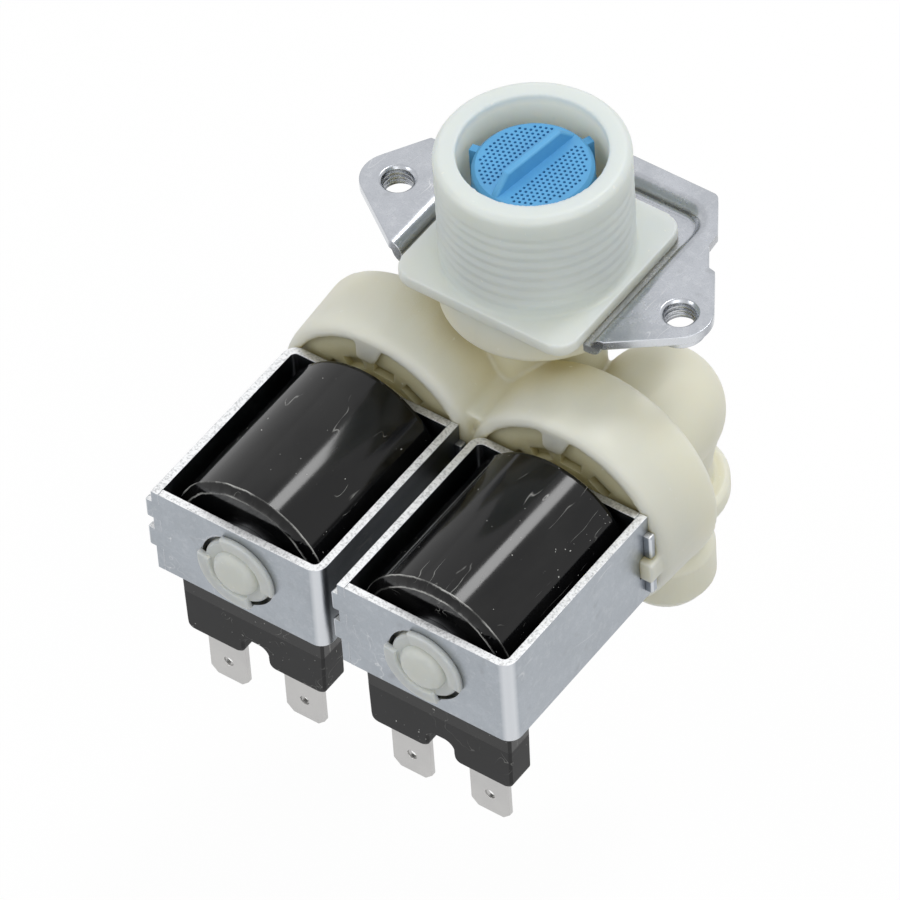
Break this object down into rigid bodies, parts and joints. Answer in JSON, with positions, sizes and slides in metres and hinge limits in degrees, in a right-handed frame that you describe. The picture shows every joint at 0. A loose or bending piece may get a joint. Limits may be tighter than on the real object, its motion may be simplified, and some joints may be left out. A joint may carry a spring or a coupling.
{
  "type": "washing machine inlet valve",
  "caption": "Solenoid water inlet valve: threaded inlet with filter, dished mounting bracket, coils in steel frames, and hose tails behind sealed diaphragm chambers.",
  "frame": {"origin": "on the inlet spigot's axis, level with the top of the bracket's ears and of the flange, midway between the bracket's two screw holes", "axes": "+Z along the inlet spigot, out of its mouth; X from one solenoid to the other; the solenoids lie along Y with their terminals at -Y"},
  "size_m": [0.064, 0.0717, 0.0793],
  "materials": {
    "nylon": "natural nylon, satin, slightly translucent",
    "bonnet_plastic": "natural acetal, satin",
    "carrier_plastic": "moulded, plain",
    "regulator_plastic": "moulded, plain",
    "filter_blue": "polypropylene, satin",
    "bracket_zinc": "zinc plated, satin",
    "frame_zinc": "zinc coated strip, satin, speckled cut edges",
    "sleeve_steel": "rolled, plain",
    "plunger_steel": "turned stainless",
    "spring_steel": "drawn stainless wire",
    "terminal_tin": "tinned, dull",
    "coil_resin": "black resin, glossy drum and matt block, light scratches",
    "bobbin_plastic": "glass filled, plain",
    "copper_wire": "enamelled copper",
    "rubber": "moulded"
  },
  "bodies": {
    "valve": {"valve_body": "nylon", "mounting_bracket": "bracket_zinc", "inlet_filter": "filter_blue", "flow_regulator_holder": "regulator_plastic", "flow_regulator_washer": "rubber", "left_coil_frame_front": "frame_zinc", "left_coil_frame_back": "frame_zinc", "left_pole_sleeve_front": "sleeve_steel", "left_pole_sleeve_back": "sleeve_steel", "left_coil_bobbin": "bobbin_plastic", "left_coil_winding": "copper_wire", "left_coil_overmould": "coil_resin", "left_terminal_outer": "terminal_tin", "left_terminal_inner": "terminal_tin", "left_bonnet": "bonnet_plastic", "left_diaphragm": "rubber", "left_plunger_spring": "spring_steel", "right_coil_frame_front": "frame_zinc", "right_coil_frame_back": "frame_zinc", "right_pole_sleeve_front": "sleeve_steel", "right_pole_sleeve_back": "sleeve_steel", "right_coil_bobbin": "bobbin_plastic", "right_coil_winding": "copper_wire", "right_coil_overmould": "coil_resin", "right_terminal_outer": "terminal_tin", "right_terminal_inner": "terminal_tin", "right_bonnet": "bonnet_plastic", "right_diaphragm": "rubber", "right_plunger_spring": "spring_steel"},
    "left_plunger_body": {"left_plunger": "plunger_steel", "left_plunger_seal": "rubber"},
    "left_lift_body": {"left_diaphragm_carrier": "carrier_plastic"},
    "right_plunger_body": {"right_plunger": "plunger_steel", "right_plunger_seal": "rubber"},
    "right_lift_body": {"right_diaphragm_carrier": "carrier_plastic"}
  },
  "joints": [
    {"name": "left_plunger_lift", "type": "slide", "parent": "valve", "child": "left_plunger_body", "axis": [0, -1, 0], "range_m": [0, 0.0024], "stiffness_N_per_m": 150, "springref_m": -0.004, "deforming": ["left_plunger_spring"]},
    {"name": "left_diaphragm_lift", "type": "slide", "parent": "valve", "child": "left_lift_body", "axis": [0, -1, 0], "range_m": [0, 0.00168], "deforming": ["left_diaphragm"]},
    {"name": "right_plunger_lift", "type": "slide", "parent": "valve", "child": "right_plunger_body", "axis": [0, -1, 0], "range_m": [0, 0.0024], "stiffness_N_per_m": 150, "springref_m": -0.004, "deforming": ["right_plunger_spring"]},
    {"name": "right_diaphragm_lift", "type": "slide", "parent": "valve", "child": "right_lift_body", "axis": [0, -1, 0], "range_m": [0, 0.00168], "deforming": ["right_diaphragm"]}
  ],
  "couplings": [
    {"joint": "left_diaphragm_lift", "follows": "left_plunger_lift", "ratio": 0.7},
    {"joint": "right_diaphragm_lift", "follows": "right_plunger_lift", "ratio": 0.7}
  ]
}
